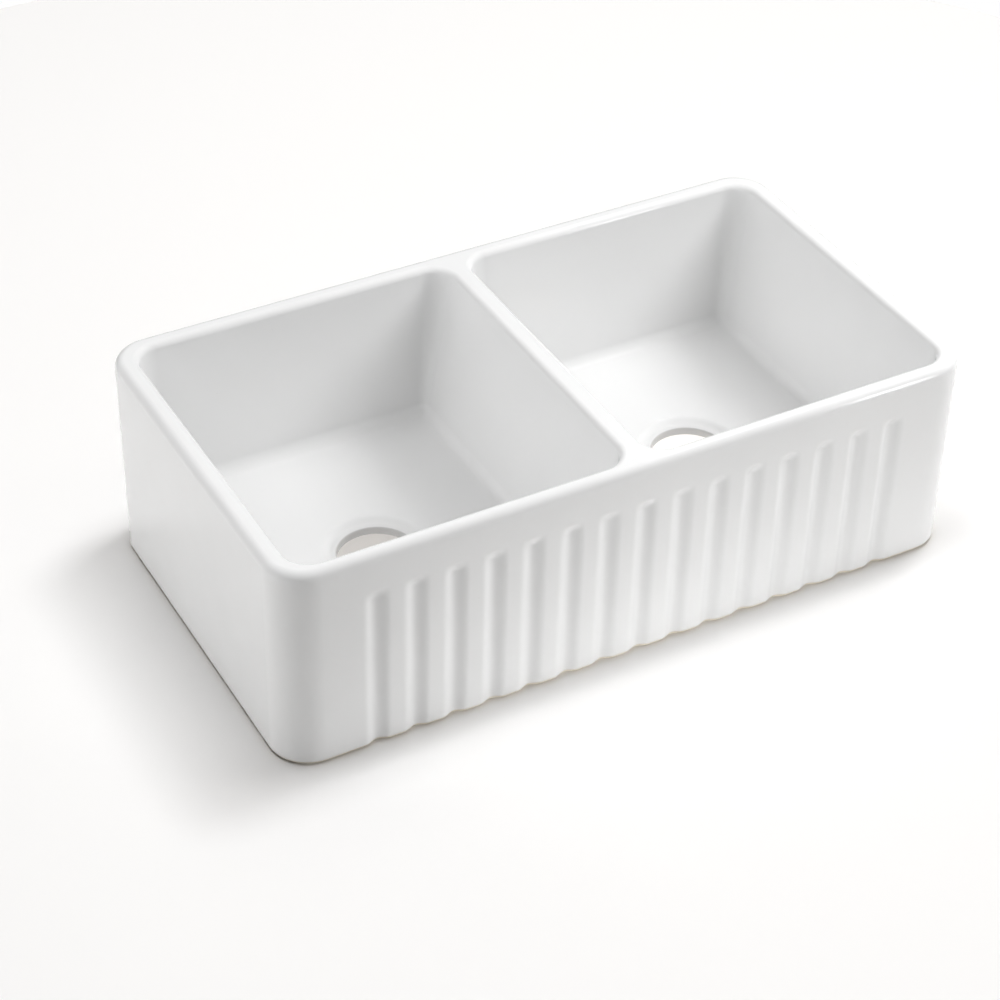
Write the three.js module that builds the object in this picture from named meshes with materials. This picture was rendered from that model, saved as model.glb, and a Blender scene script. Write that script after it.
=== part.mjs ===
// Farmhouse apron front sink, double bowl, fluted apron. Millimetres, +Z up.
// Origin: middle of the base, on the surface that the sink stands on. +X runs to the right
// along the apron, and the apron faces -Y.
//
// The sink is one fired clay casting under one coat of white glaze. Both are lofted from the
// same set of rings: `inset` is how far a surface lies inside the finished glazed surface.
import * as THREE from 'three';
import { mergeVertices } from 'three/addons/utils/BufferGeometryUtils.js';

// ---- driving dimensions -------------------------------------------------------------------
const WIDTH = 838;            // overall, 33 in
const DEPTH = 457;            // overall, 18 in
const HEIGHT = 254;           // overall, 10 in
const CORNER_R = 45;          // upright outer corners, in plan
const RIM_OUT_R = 10.5;       // outer edge of the rim
const RIM_R = 8;              // rim to bowl
const BASE_R = 5;             // lower outer edge

const WALL_SIDE = 25;         // rim width at the left and right walls
const WALL_FRONT = 19;        // rim width behind the apron
const WALL_BACK = 23;         // rim width at the back
const DIVIDER = 27;           // rim width between the bowls

const BOWL_CORNER_R = 28;     // upright corners of a bowl, at the rim
const BOWL_CORNER_LOW_R = 12; // the same corners just above the floor, where they are tighter
const BOWL_DRAFT = 9;         // how far the front and back bowl walls lean in, rim to floor
const SIDE_DRAFT = 19;        // the same at the left and right walls
const DIVIDER_DRAFT = 25;     // the same at the divider, which widens downwards
const BOWL_FILLET_R = 14;     // wall to floor
const FLOOR_Z = 63;           // bowl floor at its edge
const FLOOR_DRAIN_Z = 57;     // bowl floor where the drain recess begins

const DRAIN_HOLE_R = 44.5;    // 3 1/2 in drain hole
const SEAT_Z = 51.5;          // flat ring round the hole, at the bottom of a soft dish
const SEAT_IN_R = 47;
const SEAT_OUT_R = 50.5;
const RECESS_R = 63;          // outer edge of the drain recess
const CLAMP_Z = 42;           // clamp face under the drain
const CLAMP_R = 68;

const FLUTE_COUNT = 15;
const FLUTE_PITCH = 45;
const FLUTE_WIDTH = 30;
const FLUTE_DEPTH = 4.4;
const FLUTE_TOP_Z = 209;      // where a flute has run out
const FLUTE_RUNOUT = 15;      // height over which it fades

const UNDERSIDE_Z = 36;       // raised underside inside the standing rim of the base
const FOOT_SIDE = 29;         // width of the standing rim at the sides
const FOOT_FRONT = 27;
const FOOT_BACK = 28;
const FOOT_MIDDLE = 34;       // rib under the divider
const FOOT_CORNER_R = 24;

const GLAZE = 0.7;            // glaze thickness
const GAP = 0.3;              // clearance kept between the glaze and the clay
const GLAZE_FROM_Z = BASE_R;  // the glaze stops here, the foot is bare clay

// ---- derived ------------------------------------------------------------------------------
const BOWL_W = (WIDTH - 2 * WALL_SIDE - DIVIDER) / 2;
const BOWL_D = DEPTH - WALL_FRONT - WALL_BACK;
const BOWL_X = (DIVIDER + BOWL_W) / 2;
const BOWL_Y = (WALL_FRONT - WALL_BACK) / 2;

const CORNER_STEPS = 5;
const BOWL_CORNER_STEPS = 6;
const ROUND_STEPS = 3;

// ---- rings --------------------------------------------------------------------------------
const v = (x, y, z) => new THREE.Vector3(x, y, z);

/** One corner arc, counter-clockwise from `from` over a quarter turn. */
function quarter(cx, cy, r, from, steps) {
  const out = [];
  for (let k = 0; k <= steps; k++) {
    const a = from + (Math.PI / 2) * (k / steps);
    out.push([cx + r * Math.cos(a), cy + r * Math.sin(a)]);
  }
  return out;
}

/** Share of a flute's full depth, across its width and up its height. */
const fluteAcross = (u) => (Math.abs(u) >= 0.5 ? 0 : 0.5 * (1 + Math.cos(2 * Math.PI * u)));
function fluteUp(z) {
  const t = (FLUTE_TOP_Z - z) / FLUTE_RUNOUT;
  if (t <= 0) return 0;
  if (t >= 1) return 1;
  return Math.sin((Math.PI / 2) * t) ** 1.5;
}

/** Outer outline, inset from the finished faces, at height z. */
function outerRing(inset, z, fluteZ = z) {
  const hx = WIDTH / 2 - inset;
  const hy = DEPTH / 2 - inset;
  const r = CORNER_R - inset;
  const pts = [];
  pts.push(...quarter(-hx + r, -hy + r, r, Math.PI, CORNER_STEPS));
  const depth = FLUTE_DEPTH * fluteUp(fluteZ);
  for (let i = 0; i < FLUTE_COUNT; i++) {
    const c = (i - (FLUTE_COUNT - 1) / 2) * FLUTE_PITCH;
    for (const u of [-0.5, -0.25, 0, 0.25, 0.5]) {
      pts.push([c + u * FLUTE_WIDTH, -hy + depth * fluteAcross(u)]);
    }
  }
  pts.push(...quarter(hx - r, -hy + r, r, -Math.PI / 2, CORNER_STEPS));
  pts.push(...quarter(hx - r, hy - r, r, 0, CORNER_STEPS));
  pts.push(...quarter(-hx + r, hy - r, r, Math.PI / 2, CORNER_STEPS));
  return pts.map(([x, y]) => v(x, y, z));
}

/**
 * Outline of a bowl, `out` outside its opening at the rim (negative is inside). `low` is how far
 * down the wall it lies, 0 at the rim and 1 at the floor: the sides lean in more than the front
 * and back, and the corners get tighter.
 */
function bowlRing(cx, out, z, low = 0) {
  const side = (SIDE_DRAFT - BOWL_DRAFT) * low;
  const middle = (DIVIDER_DRAFT - BOWL_DRAFT) * low;
  const x0 = cx - BOWL_W / 2 - out + (cx > 0 ? middle : side);
  const x1 = cx + BOWL_W / 2 + out - (cx < 0 ? middle : side);
  const hy = BOWL_D / 2 + out;
  const tighter = (BOWL_CORNER_R - BOWL_DRAFT - BOWL_CORNER_LOW_R) * low;
  const r = Math.max(BOWL_CORNER_R + out - tighter, 4);
  const pts = [];
  pts.push(...quarter(x0 + r, BOWL_Y - hy + r, r, Math.PI, BOWL_CORNER_STEPS));
  pts.push(...quarter(x1 - r, BOWL_Y - hy + r, r, -Math.PI / 2, BOWL_CORNER_STEPS));
  pts.push(...quarter(x1 - r, BOWL_Y + hy - r, r, 0, BOWL_CORNER_STEPS));
  pts.push(...quarter(x0 + r, BOWL_Y + hy - r, r, Math.PI / 2, BOWL_CORNER_STEPS));
  return pts.map(([x, y]) => v(x, y, z));
}

/** A circle with as many points as a bowl outline, in the same order. */
const RING_N = 4 * (BOWL_CORNER_STEPS + 1);
function circleRing(cx, r, z) {
  const step = (2 * Math.PI) / RING_N;
  const start = Math.PI * 1.25 - step * (BOWL_CORNER_STEPS / 2);
  const pts = [];
  for (let i = 0; i < RING_N; i++) {
    const a = start + i * step;
    pts.push(v(cx + r * Math.cos(a), BOWL_Y + r * Math.sin(a), z));
  }
  return pts;
}

const blend = (a, b, t, z) => a.map((p, i) => v(p.x + (b[i].x - p.x) * t, p.y + (b[i].y - p.y) * t, z));

// ---- surfaces -----------------------------------------------------------------------------
/** Collects triangles and closes them into one mesh. */
class Surface {
  constructor() {
    this.xyz = [];
  }

  tri(a, b, c) {
    this.xyz.push(a.x, a.y, a.z, b.x, b.y, b.z, c.x, c.y, c.z);
  }

  /** Skin between two rings of equal length. */
  loft(a, b, flip = false) {
    const n = a.length;
    for (let i = 0; i < n; i++) {
      const j = (i + 1) % n;
      if (flip) {
        this.tri(a[i], b[j], a[j]);
        this.tri(a[i], b[i], b[j]);
      } else {
        this.tri(a[i], a[j], b[j]);
        this.tri(a[i], b[j], b[i]);
      }
    }
  }

  lofts(rings, flip = false) {
    for (let i = 0; i + 1 < rings.length; i++) this.loft(rings[i], rings[i + 1], flip);
  }

  /** Flat face inside one ring, with other rings as its holes. */
  face(ring, holes, up = true) {
    const flat = (r) => r.map((p) => new THREE.Vector2(p.x, p.y));
    const all = [...ring, ...holes.flat()];
    for (const [a, b, c] of THREE.ShapeUtils.triangulateShape(flat(ring), holes.map(flat))) {
      const area = (all[b].x - all[a].x) * (all[c].y - all[a].y) - (all[c].x - all[a].x) * (all[b].y - all[a].y);
      if (area > 0 === up) this.tri(all[a], all[b], all[c]);
      else this.tri(all[a], all[c], all[b]);
    }
  }

  mesh(name, material) {
    const raw = new THREE.BufferGeometry();
    raw.setAttribute('position', new THREE.Float32BufferAttribute(this.xyz, 3));
    const geometry = mergeVertices(raw, 1e-4);
    geometry.computeVertexNormals();
    const mesh = new THREE.Mesh(geometry, material);
    mesh.name = name;
    return mesh;
  }
}

/** Rings up the outside, from the glaze line to the rim's flat top. */
function outsideRings(inset) {
  const rings = [outerRing(inset, GLAZE_FROM_Z)];
  const steps = 3;
  for (let k = 0; k <= steps; k++) {
    rings.push(outerRing(inset, FLUTE_TOP_Z - FLUTE_RUNOUT * (1 - k / steps)));
  }
  for (let k = 0; k <= ROUND_STEPS; k++) {
    const a = (Math.PI / 2) * (k / ROUND_STEPS);
    rings.push(outerRing(RIM_OUT_R - (RIM_OUT_R - inset) * Math.cos(a), HEIGHT - RIM_OUT_R + (RIM_OUT_R - inset) * Math.sin(a)));
  }
  return rings;
}

/** Rings down into a bowl, from the rim's flat top to the lower edge of the drain hole. */
function insideRings(cx, inset) {
  const rings = [];
  for (let k = 0; k <= ROUND_STEPS; k++) {
    const a = (Math.PI / 2) * (k / ROUND_STEPS);
    rings.push(bowlRing(cx, RIM_R - (RIM_R - inset) * Math.sin(a), HEIGHT - RIM_R + (RIM_R - inset) * Math.cos(a)));
  }
  const foot = -BOWL_DRAFT - BOWL_FILLET_R;
  for (let k = 0; k <= ROUND_STEPS; k++) {
    const a = (Math.PI / 2) * (k / ROUND_STEPS);
    const r = BOWL_FILLET_R + inset;
    rings.push(bowlRing(cx, foot + r * Math.cos(a), FLOOR_Z + BOWL_FILLET_R - r * Math.sin(a), 1));
  }
  const edge = bowlRing(cx, foot, FLOOR_Z - inset, 1);
  const recess = circleRing(cx, RECESS_R, FLOOR_DRAIN_Z - inset);
  rings.push(blend(edge, recess, 0.55, FLOOR_Z + (FLOOR_DRAIN_Z - FLOOR_Z) * 0.55 - inset));
  rings.push(recess);
  rings.push(circleRing(cx, (RECESS_R + SEAT_OUT_R) / 2, (FLOOR_DRAIN_Z + SEAT_Z) / 2 - inset));
  rings.push(circleRing(cx, SEAT_OUT_R, SEAT_Z - inset));
  rings.push(circleRing(cx, SEAT_IN_R, SEAT_Z - inset));
  rings.push(circleRing(cx, DRAIN_HOLE_R + 0.7 + inset * 0.9, SEAT_Z - 0.8 - inset * 0.5));
  rings.push(circleRing(cx, DRAIN_HOLE_R + inset, SEAT_Z - 2.6));
  rings.push(circleRing(cx, DRAIN_HOLE_R + inset, CLAMP_Z));
  return rings;
}

const bowls = [-BOWL_X, BOWL_X];

/** The whole glazed face at one depth: outside, rim and both bowls. */
function glazedFace(surface, inset, flip) {
  const outside = outsideRings(inset);
  const inside = bowls.map((cx) => insideRings(cx, inset));
  surface.lofts(outside, flip);
  surface.face(outside.at(-1), inside.map((r) => r[0]), !flip);
  for (const rings of inside) surface.lofts(rings, flip);
  return { lowest: outside[0], bores: inside.map((r) => r.at(-1)) };
}

// ---- the clay casting ---------------------------------------------------------------------
function fireclayBody() {
  const s = new Surface();
  const depth = GLAZE + GAP;
  const { lowest, bores } = glazedFace(s, depth, false);

  // lower outer edge, rounded down to the standing face
  const edge = [];
  for (let k = 0; k < 2; k++) {
    const a = (Math.PI / 2) * (k / 2);
    edge.push(outerRing(BASE_R - (BASE_R - depth) * Math.sin(a), BASE_R - BASE_R * Math.cos(a)));
  }
  edge.push(lowest);
  s.lofts(edge);

  // raised underside, one field under each bowl, with a clamp face round each drain hole
  const fields = bowls.map((cx, i) => {
    const left = cx < 0 ? -WIDTH / 2 + FOOT_SIDE : FOOT_MIDDLE / 2;
    const right = cx < 0 ? -FOOT_MIDDLE / 2 : WIDTH / 2 - FOOT_SIDE;
    const front = -DEPTH / 2 + FOOT_FRONT;
    const back = DEPTH / 2 - FOOT_BACK;
    const outline = (grow, z) => {
      const r = FOOT_CORNER_R + grow;
      return [
        ...quarter(left - grow + r, front - grow + r, r, Math.PI, BOWL_CORNER_STEPS),
        ...quarter(right + grow - r, front - grow + r, r, -Math.PI / 2, BOWL_CORNER_STEPS),
        ...quarter(right + grow - r, back + grow - r, r, 0, BOWL_CORNER_STEPS),
        ...quarter(left - grow + r, back + grow - r, r, Math.PI / 2, BOWL_CORNER_STEPS),
      ].map(([x, y]) => v(x, y, z));
    };
    const mouth = outline(2, 0);
    const wall = outline(0, 2);
    const roof = outline(0, UNDERSIDE_Z);
    const clampLow = circleRing(cx, CLAMP_R, UNDERSIDE_Z);
    const clampHigh = circleRing(cx, CLAMP_R, CLAMP_Z);
    s.lofts([mouth, wall, roof], true);
    s.face(roof, [clampLow], false);
    s.lofts([clampLow, clampHigh, bores[i]], true);
    return mouth;
  });
  s.face(edge[0], fields, false);
  return s.mesh('fireclay_body', new THREE.MeshStandardMaterial({ color: 0xe9e4da, roughness: 0.85, metalness: 0 }));
}

// ---- the glaze ----------------------------------------------------------------------------
function glazeCoat() {
  const s = new Surface();
  const top = glazedFace(s, 0, false);
  const under = glazedFace(s, GLAZE, true);
  s.loft(top.lowest, under.lowest, true);
  for (let i = 0; i < bowls.length; i++) s.loft(top.bores[i], under.bores[i], false);
  return s.mesh('glaze_coat', new THREE.MeshStandardMaterial({ color: 0xf6f6f5, roughness: 0.08, metalness: 0 }));
}

const sink = new THREE.Group();
sink.add(fireclayBody(), glazeCoat());

export default sink;
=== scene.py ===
import math

import bpy
import numpy as np
from mathutils import Matrix, Vector, geometry


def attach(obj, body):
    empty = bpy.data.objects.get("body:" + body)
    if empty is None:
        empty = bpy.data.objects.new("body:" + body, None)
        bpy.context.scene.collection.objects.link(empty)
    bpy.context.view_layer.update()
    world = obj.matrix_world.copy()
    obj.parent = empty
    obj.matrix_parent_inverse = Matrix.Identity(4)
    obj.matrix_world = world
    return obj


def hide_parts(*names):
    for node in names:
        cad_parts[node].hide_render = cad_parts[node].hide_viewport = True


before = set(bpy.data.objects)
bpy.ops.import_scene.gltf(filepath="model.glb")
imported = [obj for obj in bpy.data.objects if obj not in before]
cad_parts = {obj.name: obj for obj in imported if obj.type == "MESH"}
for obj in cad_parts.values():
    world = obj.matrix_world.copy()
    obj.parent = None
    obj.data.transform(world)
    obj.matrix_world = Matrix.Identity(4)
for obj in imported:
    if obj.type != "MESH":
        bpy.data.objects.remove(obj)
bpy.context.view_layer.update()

# ---- dimensions of the sink, millimetres, the same as in the CAD source --------------------
WIDTH, DEPTH, HEIGHT = 838.0, 457.0, 254.0
CORNER_R, RIM_OUT_R, RIM_R, BASE_R = 45.0, 10.5, 8.0, 5.0
WALL_SIDE, WALL_FRONT, WALL_BACK, DIVIDER = 25.0, 19.0, 23.0, 27.0
BOWL_CORNER_R, BOWL_CORNER_LOW_R, BOWL_FILLET_R = 28.0, 12.0, 14.0
BOWL_DRAFT, SIDE_DRAFT, DIVIDER_DRAFT = 9.0, 19.0, 25.0
FLOOR_Z, FLOOR_DRAIN_Z = 63.0, 57.0
DRAIN_HOLE_R, SEAT_Z, SEAT_IN_R, SEAT_OUT_R, RECESS_R = 44.5, 51.5, 47.0, 50.5, 63.0
CLAMP_Z, CLAMP_R = 42.0, 68.0
FLUTE_COUNT, FLUTE_PITCH, FLUTE_WIDTH, FLUTE_DEPTH = 15, 45.0, 30.0, 4.4
FLUTE_TOP_Z, FLUTE_RUNOUT = 209.0, 15.0
UNDERSIDE_Z = 36.0
FOOT_SIDE, FOOT_FRONT, FOOT_BACK, FOOT_MIDDLE, FOOT_CORNER_R = 29.0, 27.0, 28.0, 34.0, 24.0
GLAZE, GAP = 0.7, 0.3

BOWL_W = (WIDTH - 2 * WALL_SIDE - DIVIDER) / 2
BOWL_D = DEPTH - WALL_FRONT - WALL_BACK
BOWL_X = (DIVIDER + BOWL_W) / 2
BOWL_Y = (WALL_FRONT - WALL_BACK) / 2
HALF = math.pi / 2

# ---- outlines ------------------------------------------------------------------------------
CORNER_N = 18        # steps round an outer corner
BOWL_CORNER_N = 14   # steps round a bowl corner
SIDE_N = 12          # steps along a bowl wall


def arc(cx, cy, r, start, n):
    a = start + HALF * np.arange(n + 1) / n
    return np.c_[cx + r * np.cos(a), cy + r * np.sin(a)]


def line(p, q, n):
    """Points between p and q, without either end."""
    t = (np.arange(n - 1) + 1.0)[:, None] / n
    return np.asarray(p) * (1 - t) + np.asarray(q) * t


def across(u):
    """Share of a flute's depth at u flute widths from its middle."""
    u = np.clip(np.abs(u), 0, 0.5)
    return 0.5 * (1 + np.cos(2 * math.pi * u))


def flute_up(z):
    t = np.clip((FLUTE_TOP_Z - z) / FLUTE_RUNOUT, 0, 1)
    return math.sin(HALF * t) ** 1.5


FLUTE_X = np.arange(-(FLUTE_COUNT / 2) * FLUTE_PITCH, (FLUTE_COUNT / 2) * FLUTE_PITCH + 0.1, 2.25)
FLUTE_SHAPE = sum(across((FLUTE_X - (i - (FLUTE_COUNT - 1) / 2) * FLUTE_PITCH) / FLUTE_WIDTH)
                  for i in range(FLUTE_COUNT))


def outer_ring(inset, z, flute=None):
    hx, hy, r = WIDTH / 2 - inset, DEPTH / 2 - inset, CORNER_R - inset
    depth = FLUTE_DEPTH * (flute_up(z) if flute is None else flute)
    front = np.c_[FLUTE_X, -hy + depth * FLUTE_SHAPE]
    parts = [
        arc(-hx + r, -hy + r, r, math.pi, CORNER_N),
        line((-hx + r, -hy), (FLUTE_X[0], -hy), 4), front, line((FLUTE_X[-1], -hy), (hx - r, -hy), 4),
        arc(hx - r, -hy + r, r, -HALF, CORNER_N), line((hx, -hy + r), (hx, hy - r), 20),
        arc(hx - r, hy - r, r, 0, CORNER_N), line((hx - r, hy), (-hx + r, hy), 40),
        arc(-hx + r, hy - r, r, HALF, CORNER_N), line((-hx, hy - r), (-hx, -hy + r), 20),
    ]
    xy = np.concatenate(parts)
    return np.c_[xy, np.full(len(xy), z)]


def rounded(x0, x1, y0, y1, r, z, corner_n=BOWL_CORNER_N, side_n=SIDE_N):
    parts = [
        arc(x0 + r, y0 + r, r, math.pi, corner_n), line((x0 + r, y0), (x1 - r, y0), side_n),
        arc(x1 - r, y0 + r, r, -HALF, corner_n), line((x1, y0 + r), (x1, y1 - r), side_n),
        arc(x1 - r, y1 - r, r, 0, corner_n), line((x1 - r, y1), (x0 + r, y1), side_n),
        arc(x0 + r, y1 - r, r, HALF, corner_n), line((x0, y1 - r), (x0, y0 + r), side_n),
    ]
    xy = np.concatenate(parts)
    return np.c_[xy, np.full(len(xy), z)]


def bowl_ring(cx, out, z, low=0.0):
    """Outline of a bowl; low is how far down the wall it lies, 0 at the rim and 1 at the floor."""
    side, middle = (SIDE_DRAFT - BOWL_DRAFT) * low, (DIVIDER_DRAFT - BOWL_DRAFT) * low
    left, right = (middle, side) if cx > 0 else (side, middle)
    tighter = (BOWL_CORNER_R - BOWL_DRAFT - BOWL_CORNER_LOW_R) * low
    hx, hy, r = BOWL_W / 2 + out, BOWL_D / 2 + out, max(BOWL_CORNER_R + out - tighter, 4.0)
    return rounded(cx - hx + left, cx + hx - right, BOWL_Y - hy, BOWL_Y + hy, r, z)


def circle_like(ring, cx, cy, r, z):
    """A circle whose points match a ring's, evenly spaced."""
    n = len(ring)
    start = math.pi * 1.25 - 2 * math.pi / n * (BOWL_CORNER_N / 2)
    a = start + 2 * math.pi * np.arange(n) / n
    return np.c_[cx + r * np.cos(a), cy + r * np.sin(a), np.full(n, z)]


# ---- meshes --------------------------------------------------------------------------------
class Skin:
    """Collects rings and flat faces, welds them, and makes one mesh."""

    def __init__(self):
        self.points, self.faces, self.n = [], [], 0

    def add(self, pts):
        start = self.n
        self.points.append(np.asarray(pts, float))
        self.n += len(pts)
        return start

    def loft(self, rings, flip=False):
        starts = [self.add(r) for r in rings]
        n = len(rings[0])
        i = np.arange(n)
        j = (i + 1) % n
        for a, b in zip(starts, starts[1:]):
            q = np.c_[a + i, a + j, b + j, b + i]
            self.faces += (q[:, ::-1] if flip else q).tolist()

    def flat(self, ring, holes, up=True):
        loops = [ring, *holes]
        start = self.add(np.concatenate(loops))
        pts = np.concatenate(loops)
        for a, b, c in geometry.tessellate_polygon([[Vector(p) for p in lp] for lp in loops]):
            area = (pts[b, 0] - pts[a, 0]) * (pts[c, 1] - pts[a, 1]) - (pts[c, 0] - pts[a, 0]) * (pts[b, 1] - pts[a, 1])
            t = (a, b, c) if (area > 0) == up else (a, c, b)
            self.faces.append([start + k for k in t])

    def make(self, name, sharp=40.0):
        xyz = np.concatenate(self.points) / 1000.0
        mesh = bpy.data.meshes.new(name)
        mesh.from_pydata(xyz.tolist(), [], self.faces)
        import bmesh
        bm = bmesh.new()
        bm.from_mesh(mesh)
        bmesh.ops.remove_doubles(bm, verts=bm.verts, dist=2e-6)
        bmesh.ops.dissolve_degenerate(bm, edges=bm.edges, dist=1e-7)
        bm.to_mesh(mesh)
        bm.free()
        mesh.validate()
        mesh.update()
        mesh.shade_smooth()
        mesh.set_sharp_from_angle(angle=math.radians(sharp))
        obj = bpy.data.objects.new(name, mesh)
        bpy.context.scene.collection.objects.link(obj)
        return obj


def weighted_normals(obj):
    mod = obj.modifiers.new("normals", "WEIGHTED_NORMAL")
    mod.mode = "FACE_AREA"
    mod.weight = 60
    mod.keep_sharp = True
    with bpy.context.temp_override(object=obj, active_object=obj, selected_objects=[obj]):
        bpy.ops.object.modifier_apply(modifier=mod.name)
    return obj


def ease(t):
    return 0.5 - 0.5 * math.cos(math.pi * t)


def outside_rings(inset, z0, fine):
    rings = [outer_ring(inset, z0)]
    first = FLUTE_TOP_Z - FLUTE_RUNOUT
    for z in np.linspace(z0, first, 14 if fine else 3)[1:]:
        rings.append(outer_ring(inset, z))
    for z in np.linspace(first, FLUTE_TOP_Z, 13 if fine else 7)[1:]:
        rings.append(outer_ring(inset, z))
    rings.append(outer_ring(inset, 0.6 * FLUTE_TOP_Z + 0.4 * (HEIGHT - RIM_OUT_R)))
    n = 20 if fine else 4
    for k in range(n + 1):
        a = HALF * k / n
        r = RIM_OUT_R - inset
        rings.append(outer_ring(RIM_OUT_R - r * math.cos(a), HEIGHT - RIM_OUT_R + r * math.sin(a), 0.0))
    return rings


def even_fall(grid, z):
    """Heights between a bowl's edge and its drain that fall evenly, with no crease off the corners."""
    def near(a, b):
        return 1.0 / (np.linalg.norm(a - b, axis=2) ** 2 + 1e-6)
    mid = grid[1:-1]
    w = [near(mid, grid[:-2]), near(mid, grid[2:]), near(mid, np.roll(mid, 1, 1)), near(mid, np.roll(mid, -1, 1))]
    total = sum(w)
    for _ in range(600):
        m = z[1:-1]
        z[1:-1] = (w[0] * z[:-2] + w[1] * z[2:] + w[2] * np.roll(m, 1, 1) + w[3] * np.roll(m, -1, 1)) / total
    return z


def inside_rings(cx, inset, fine):
    rings = []
    n = 20 if fine else 4
    for k in range(n + 1):
        a = HALF * k / n
        rings.append(bowl_ring(cx, RIM_R - (RIM_R - inset) * math.sin(a), HEIGHT - RIM_R + (RIM_R - inset) * math.cos(a)))
    foot = -BOWL_DRAFT - BOWL_FILLET_R
    top_z, low_z = HEIGHT - RIM_R, FLOOR_Z + BOWL_FILLET_R
    m = 12 if fine else 2
    for k in range(1, m):
        t = k / m
        rings.append(bowl_ring(cx, inset - BOWL_DRAFT * t, top_z + (low_z - top_z) * t, t))
    n = 12 if fine else 4
    for k in range(n + 1):
        a = HALF * k / n
        r = BOWL_FILLET_R + inset
        rings.append(bowl_ring(cx, foot + r * math.cos(a), low_z - r * math.sin(a), 1.0))
    # floor: from the wall's foot to the drain recess, falling evenly to the drain
    edge = rings[-1]
    round_ = circle_like(edge, cx, BOWL_Y, RECESS_R, 0.0)
    m = 14 if fine else 3
    t = np.arange(m + 1) / m
    grid = edge[None, :, :2] * (1 - t)[:, None, None] + round_[None, :, :2] * t[:, None, None]
    z = even_fall(grid, FLOOR_Z + (FLOOR_DRAIN_Z - FLOOR_Z) * t[:, None] + np.zeros((1, len(edge))))
    for k in range(1, m + 1):
        rings.append(np.c_[grid[k], z[k] - inset])
    n = 14 if fine else 3
    for k in range(1, n + 1):
        t = k / n
        rings.append(circle_like(edge, cx, BOWL_Y, RECESS_R + (SEAT_OUT_R - RECESS_R) * t,
                                 FLOOR_DRAIN_Z + (SEAT_Z - FLOOR_DRAIN_Z) * ease(t ** 1.2) - inset))
    rings.append(circle_like(edge, cx, BOWL_Y, (SEAT_OUT_R + SEAT_IN_R) / 2, SEAT_Z - inset))
    rings.append(circle_like(edge, cx, BOWL_Y, SEAT_IN_R, SEAT_Z - inset))
    r = SEAT_IN_R - DRAIN_HOLE_R
    n = 6 if fine else 3
    for k in range(1, n + 1):
        a = HALF * k / n
        rings.append(circle_like(edge, cx, BOWL_Y, SEAT_IN_R - (r - inset) * math.sin(a), SEAT_Z - r + (r - inset) * math.cos(a)))
    for z in np.linspace(SEAT_Z - r, CLAMP_Z, 4)[1:]:
        rings.append(circle_like(edge, cx, BOWL_Y, DRAIN_HOLE_R + inset, z))
    return rings


CENTRES = (-BOWL_X, BOWL_X)


def glazed_face(skin, inset, z0, flip, fine):
    outside = outside_rings(inset, z0, fine)
    inside = [inside_rings(cx, inset, fine) for cx in CENTRES]
    skin.loft(outside, flip)
    skin.flat(outside[-1], [r[0] for r in inside], not flip)
    for rings in inside:
        skin.loft(rings, flip)
    return outside[0], [r[-1] for r in inside]


def glaze_coat():
    s = Skin()
    z0 = BASE_R
    top, top_bores = glazed_face(s, 0.0, z0, False, True)
    under, under_bores = glazed_face(s, GLAZE, z0, True, True)
    s.loft([top, under], True)
    for a, b in zip(top_bores, under_bores):
        s.loft([a, b])
    return weighted_normals(s.make("sink_glaze"))


def clay_body():
    s = Skin()
    depth = GLAZE + GAP
    lowest, bores = glazed_face(s, depth, BASE_R, False, False)
    n = 6
    edge = [outer_ring(BASE_R - (BASE_R - depth) * math.sin(HALF * k / n), BASE_R - BASE_R * math.cos(HALF * k / n))
            for k in range(n)]
    s.loft(edge + [lowest])
    mouths = []
    for cx, bore in zip(CENTRES, bores):
        x0, x1 = (-WIDTH / 2 + FOOT_SIDE, -FOOT_MIDDLE / 2) if cx < 0 else (FOOT_MIDDLE / 2, WIDTH / 2 - FOOT_SIDE)
        y0, y1 = -DEPTH / 2 + FOOT_FRONT, DEPTH / 2 - FOOT_BACK

        def outline(grow, z):
            return rounded(x0 - grow, x1 + grow, y0 - grow, y1 + grow, FOOT_CORNER_R + grow, z)

        field = [outline(2 - 2 * math.sin(HALF * k / 4), 2 - 2 * math.cos(HALF * k / 4)) for k in range(5)]
        field += [outline(0, 14.0), outline(0, UNDERSIDE_Z)]
        low = circle_like(bore, cx, BOWL_Y, CLAMP_R, UNDERSIDE_Z)
        high = circle_like(bore, cx, BOWL_Y, CLAMP_R, CLAMP_Z)
        s.loft(field, True)
        s.flat(field[-1], [low], False)
        s.loft([low, high, bore], True)
        mouths.append(field[0])
    s.flat(edge[0], mouths, False)
    return weighted_normals(s.make("sink_clay", 35.0))


# ---- materials -----------------------------------------------------------------------------
def material(name):
    m = bpy.data.materials.new(name)
    m.use_nodes = True
    nt = m.node_tree
    bsdf = nt.nodes.get("Principled BSDF")
    if bsdf is None:
        bsdf = nt.nodes.new("ShaderNodeBsdfPrincipled")
        nt.links.new(bsdf.outputs[0], nt.nodes["Material Output"].inputs[0])
    return m, nt, bsdf


def node(nt, kind, **values):
    """A node with its inputs set by name."""
    n = nt.nodes.new(kind)
    for key, value in values.items():
        n.inputs[key.replace("_", " ")].default_value = value
    return n


def spread(nt, source, lo, hi, to_lo, to_hi):
    """The source's range lo..hi turned into to_lo..to_hi, clamped."""
    m = node(nt, "ShaderNodeMapRange", From_Min=lo, From_Max=hi, To_Min=to_lo, To_Max=to_hi)
    nt.links.new(source, m.inputs["Value"])
    return m.outputs["Result"]


def tint(nt, factor, a, b):
    m = nt.nodes.new("ShaderNodeMix")
    m.data_type = "RGBA"
    for sock, value in ((m.inputs[6], a), (m.inputs[7], b)):
        if isinstance(value, tuple):
            sock.default_value = (*value, 1)
        else:
            nt.links.new(value, sock)
    nt.links.new(factor, m.inputs[0])
    return m.outputs[2]


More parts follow.
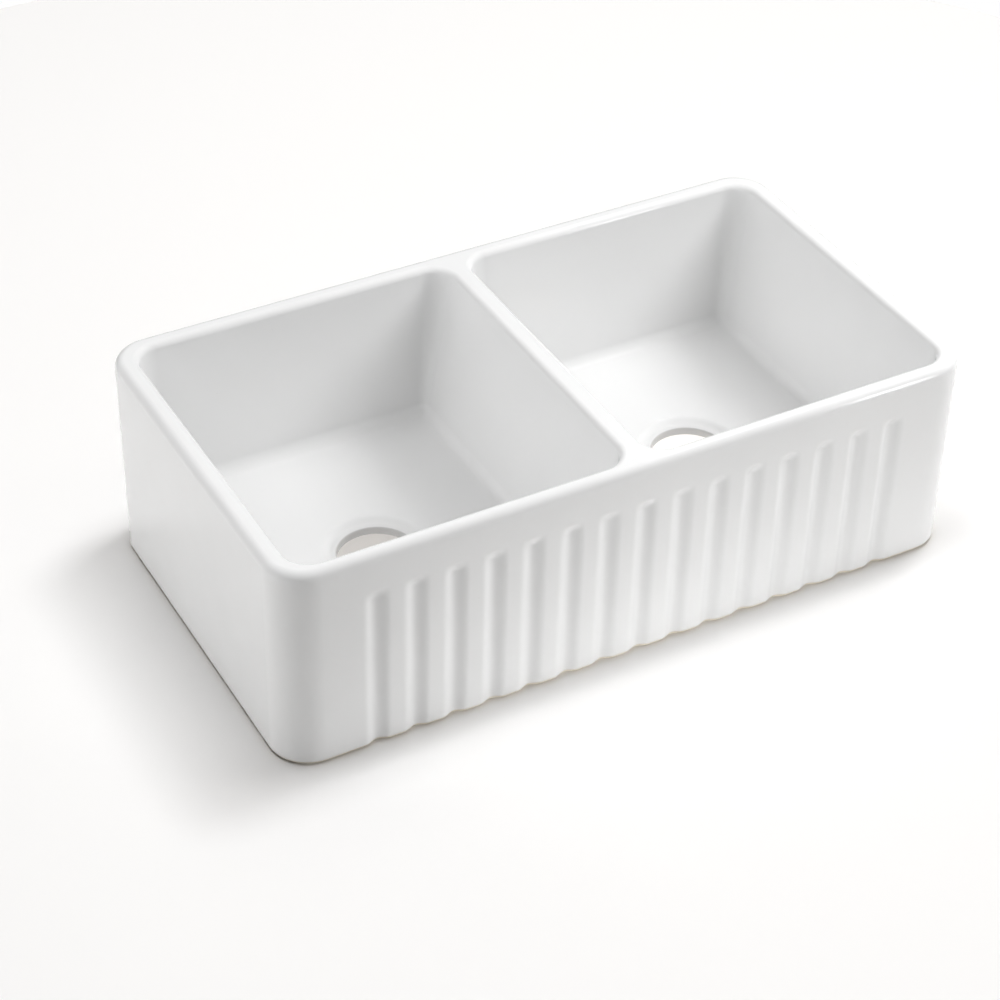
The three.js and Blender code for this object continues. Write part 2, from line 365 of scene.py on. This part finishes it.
def arithmetic(nt, operation, a, b):
    m = nt.nodes.new("ShaderNodeMath")
    m.operation = operation
    for sock, value in zip(m.inputs, (a, b)):
        if isinstance(value, (int, float)):
            sock.default_value = value
        else:
            nt.links.new(value, sock)
    return m.outputs[0]


def noise(nt, place, scale, detail=2.0, rough=0.5):
    n = node(nt, "ShaderNodeTexNoise", Scale=scale, Detail=detail, Roughness=rough)
    nt.links.new(place, n.inputs["Vector"])
    return n.outputs["Fac"]


def specks(nt, place, scale, size, share):
    """1 on small round specks, in a share of the cells, and 0 elsewhere."""
    v = node(nt, "ShaderNodeTexVoronoi", Scale=scale)
    nt.links.new(place, v.inputs["Vector"])
    split = nt.nodes.new("ShaderNodeSeparateColor")
    nt.links.new(v.outputs["Color"], split.inputs[0])
    near = spread(nt, v.outputs["Distance"], size * 0.6, size, 1.0, 0.0)
    return arithmetic(nt, "MULTIPLY", near, arithmetic(nt, "LESS_THAN", split.outputs[0], share))


def bump(nt, bsdf, layers):
    """Layers of (height, distance in metres), each on top of the one before."""
    last = None
    for height, distance in layers:
        b = node(nt, "ShaderNodeBump", Strength=1.0, Distance=distance)
        nt.links.new(height, b.inputs["Height"])
        if last:
            nt.links.new(last, b.inputs["Normal"])
        last = b.outputs["Normal"]
    nt.links.new(last, bsdf.inputs["Normal"])


def glaze_material():
    """Thick white glaze: glossy, slightly wavy, with a faint cloud of tone, a few pin marks and painted shade round the
    drain holes.
    """
    m, nt, b = material("glaze_white")
    place = nt.nodes.new("ShaderNodeTexCoord").outputs["Object"]
    cloud = spread(nt, noise(nt, place, 6.5, 3.0), 0.35, 0.65, 0.0, 1.0)
    colour = tint(nt, cloud, (0.772, 0.773, 0.772), (0.788, 0.788, 0.787))
    colour = tint(nt, arithmetic(nt, "MULTIPLY", specks(nt, place, 70.0, 0.035, 0.10), 0.35), colour, (0.42, 0.38, 0.33))
    # thin over the clay just above the foot, where it was wiped back
    split = nt.nodes.new("ShaderNodeSeparateXYZ")
    nt.links.new(place, split.inputs[0])
    height = arithmetic(nt, "ADD", split.outputs["Z"], arithmetic(nt, "MULTIPLY", noise(nt, place, 60.0), 0.0015))
    colour = tint(nt, spread(nt, height, 0.0055, 0.0078, 0.45, 0.0), colour, (0.66, 0.61, 0.53))
    # painted shade round the drain holes and in their bores: a darker grey stands in for the shade that falls in the
    # dish and the bore
    dx = arithmetic(nt, "SUBTRACT", arithmetic(nt, "ABSOLUTE", split.outputs["X"], 0.0), BOWL_X / 1000)
    dy = arithmetic(nt, "SUBTRACT", split.outputs["Y"], BOWL_Y / 1000)
    square = arithmetic(nt, "ADD", arithmetic(nt, "MULTIPLY", dx, dx), arithmetic(nt, "MULTIPLY", dy, dy))
    radius = arithmetic(nt, "SQRT", square, 0.0)
    colour = tint(nt, spread(nt, radius, 0.0470, 0.0600, 0.14, 0.0), colour, (0.40, 0.39, 0.375))
    colour = tint(nt, spread(nt, radius, 0.0449, 0.0460, 0.65, 0.0), colour, (0.38, 0.37, 0.36))
    nt.links.new(colour, b.inputs["Base Color"])
    nt.links.new(spread(nt, noise(nt, place, 22.0, 3.0), 0.35, 0.65, 0.075, 0.125), b.inputs["Roughness"])
    b.inputs["IOR"].default_value = 1.5
    bump(nt, b, ((noise(nt, place, 11.0, 1.0), 0.00045), (noise(nt, place, 150.0, 1.0), 0.00001)))
    return m


def clay_material():
    """Bare fired clay: matt, sandy, warm grey, with grog and a few dark iron specks."""
    m, nt, b = material("fireclay_bare")
    place = nt.nodes.new("ShaderNodeTexCoord").outputs["Object"]
    cloud = spread(nt, noise(nt, place, 14.0, 4.0), 0.3, 0.7, 0.0, 1.0)
    colour = tint(nt, cloud, (0.60, 0.545, 0.455), (0.68, 0.63, 0.545))
    colour = tint(nt, arithmetic(nt, "MULTIPLY", specks(nt, place, 330.0, 0.30, 0.45), 0.5), colour, (0.80, 0.76, 0.69))
    colour = tint(nt, arithmetic(nt, "MULTIPLY", specks(nt, place, 190.0, 0.14, 0.25), 0.8), colour, (0.20, 0.155, 0.12))
    nt.links.new(colour, b.inputs["Base Color"])
    nt.links.new(spread(nt, noise(nt, place, 240.0, 2.0), 0.3, 0.7, 0.82, 0.95), b.inputs["Roughness"])
    bump(nt, b, ((noise(nt, place, 60.0, 3.0), 0.0006), (noise(nt, place, 900.0, 2.0, 0.6), 0.0002)))
    return m


glaze = glaze_coat()
clay = clay_body()
glaze.data.materials.append(glaze_material())
clay.data.materials.append(clay_material())
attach(glaze, "root")
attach(clay, "root")
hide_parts("glaze_coat")
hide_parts("fireclay_body")

# ---- stage ---------------------------------------------------------------------------------
scene = bpy.context.scene
FLOOR_R = 1.5
floor_mesh = bpy.data.meshes.new("floor")
floor_mesh.from_pydata([(FLOOR_R * math.cos(2 * math.pi * k / 96), FLOOR_R * math.sin(2 * math.pi * k / 96), 0.0) for k in range(96)],
                       [], [tuple(range(96))])
floor = bpy.data.objects.new("floor", floor_mesh)
scene.collection.objects.link(floor)
fm, _, fb = material("floor_white")
fb.inputs["Base Color"].default_value = (0.88, 0.88, 0.88, 1)
fb.inputs["Roughness"].default_value = 0.9
floor_mesh.materials.append(fm)
floor.visible_shadow = False  # the light thrown back up in front of the apron starts below the floor

# a white room beyond the floor
world = bpy.data.worlds.new("studio")
scene.world = world
world.use_nodes = True
world.node_tree.nodes["Background"].inputs[0].default_value = (1, 1, 1, 1)
world.node_tree.nodes["Background"].inputs[1].default_value = 1.0
seen = world.cycles_visibility
seen.diffuse = seen.glossy = seen.transmission = seen.scatter = False

# camera, fitted to the photograph's outline
R = ((0.8673689654280982, -0.49664707525081303, 0.031823897577190924),
     (-0.2787528640483717, -0.5378109076617551, -0.7956483321071369),
     (0.412271656310521, 0.6812496680695354, -0.6049222852219344))
cam_data = bpy.data.cameras.new("camera")
cam_data.sensor_fit = "HORIZONTAL"
cam_data.sensor_width = 36.0
cam_data.lens = 92.90557042788713
cam_data.shift_x = -0.060
cam_data.shift_y = -0.035
cam_data.clip_end = 100.0
camera = bpy.data.objects.new("camera", cam_data)
scene.collection.objects.link(camera)
pos = (-1.1778712069788514, -1.9953638343949722, 1.8613897211687326)
camera.matrix_world = Matrix((
    (R[0][0], -R[1][0], -R[2][0], pos[0]),
    (R[0][1], -R[1][1], -R[2][1], pos[1]),
    (R[0][2], -R[1][2], -R[2][2], pos[2]),
    (0, 0, 0, 1)))
scene.camera = camera

# soft boxes: some fall on the sink only and some on the floor only, so each can be as soft as it should be
on_sink = bpy.data.collections.new("on_sink")
on_sink.objects.link(glaze)
on_sink.objects.link(clay)
on_floor = bpy.data.collections.new("on_floor")
on_floor.objects.link(floor)

# a card that only casts shadow, below the floor: it keeps the light from down there out of the underside
card_mesh = bpy.data.meshes.new("card")
card_ring = outer_ring(7.0, -2.0, 0.0) / 1000.0
card_mesh.from_pydata(card_ring.tolist(), [], [tuple(range(len(card_ring)))])
card = bpy.data.objects.new("card", card_mesh)
scene.collection.objects.link(card)
card.visible_camera = card.visible_diffuse = card.visible_glossy = card.visible_transmission = False
card_mesh.materials.append(fm)


def soft_box(name, place, aim, size, watts, falls_on=None, glint=False, below=False, colour=(1, 1, 1)):
    data = bpy.data.lights.new(name, "AREA")
    data.shape = "RECTANGLE"
    data.size, data.size_y = size if isinstance(size, tuple) else (size, size)
    data.energy = watts
    data.color = colour
    # the floor hides a lamp below it from rays that leave the sink, but not from the lamp's own
    data.cycles.use_multiple_importance_sampling = not below
    lamp = bpy.data.objects.new(name, data)
    scene.collection.objects.link(lamp)
    lamp.location = place
    lamp.rotation_euler = (Vector(place) - Vector(aim)).to_track_quat("Z", "Y").to_euler()
    lamp.visible_camera = False
    lamp.visible_glossy = glint
    lamp.visible_diffuse = not glint
    if falls_on:
        lamp.light_linking.receiver_collection = falls_on
    return lamp


AIM = (0.0, 0.0, 0.12)


def around(el, az, dist):
    e, a = math.radians(el), math.radians(az)
    return (AIM[0] + dist * math.cos(e) * math.cos(a), AIM[1] + dist * math.cos(e) * math.sin(a), AIM[2] + dist * math.sin(e))


for name, el, az, dist, size, watts in (
        ("key_right", 51, 0, 3.0, 1.0, 28.5),
        ("rear_right", 24, 30, 3.0, 1.8, 29.0),
        ("side_left", 46, 180, 3.0, 2.0, 22.6),
        ("side_left_near", 50, 180, 1.6, 1.0, 4.9),
        ("rear_left", 24, 150, 3.0, 1.8, 22.3),
        ("front_right", 46, 330, 3.0, 2.0, 25.4),
        ("front_right_near", 50, 330, 1.6, 1.0, 11.8),
        ("front_left", 46, 240, 3.0, 2.0, 8.6)):
    soft_box(name, around(el, az, dist), AIM, size, watts, on_sink)
# light thrown back up from the bright room floor in front of the apron
soft_box("bounce_front", (0.0, -0.42, -0.22), (0.0, -0.2285, 0.03), 0.4, 0.88, on_sink, below=True)
soft_box("bounce_right", (0.60, -0.62, -0.30), (0.35, -0.2285, 0.05), 0.5, 0.85, on_sink, below=True)
# two lamps that the glaze only mirrors
soft_box("glint_rim", (1.106, -1.485, 0.457), (0.316, -0.228, 0.247), (0.12, 0.60), 3.0, on_sink, glint=True)
soft_box("glint_drain", (1.376, 0.394, 2.572), (-0.222, 0.054, 0.056), 0.25, 2.4, on_sink, glint=True)


def overhead(tx, ty, dist=6.0):
    return tuple(Vector((tx, ty, 1.0)).normalized() * dist)


WARM = (1.0, 0.96, 0.92)
for name, tx, ty, size, watts, colour in (
        ("floor_left", -0.18, 0.0, 1.2, 91.4, (1, 1, 1)),
        ("floor_right", 0.18, 0.0, 1.2, 71.1, (1, 1, 1)),
        ("floor_right_low", 0.36, 0.12, 1.2, 93.8, (1, 1, 1)),
        ("floor_top", 0.0, 0.0, 1.2, 42.4, (1, 1, 1)),
        ("floor_side", 1.0, 0.0, 6.0, 84.6, WARM),
        ("floor_front", 0.0, -1.0, 6.0, 67.1, WARM),
        ("floor_back", 0.0, 1.0, 6.0, 89.8, WARM)):
    soft_box(name, overhead(tx, ty), (0, 0, 0), size, watts, on_floor, colour=colour)
soft_box("under_left", (-0.2, 0.02, 0.034), (-0.2, 0.02, 0.0), 0.30, 0.12, on_floor, colour=(0.97, 0.97, 1.0))
soft_box("under_right", (0.2, 0.02, 0.034), (0.2, 0.02, 0.0), 0.30, 0.23, on_floor, colour=(0.98, 0.98, 1.0))

scene.view_settings.view_transform = "Standard"
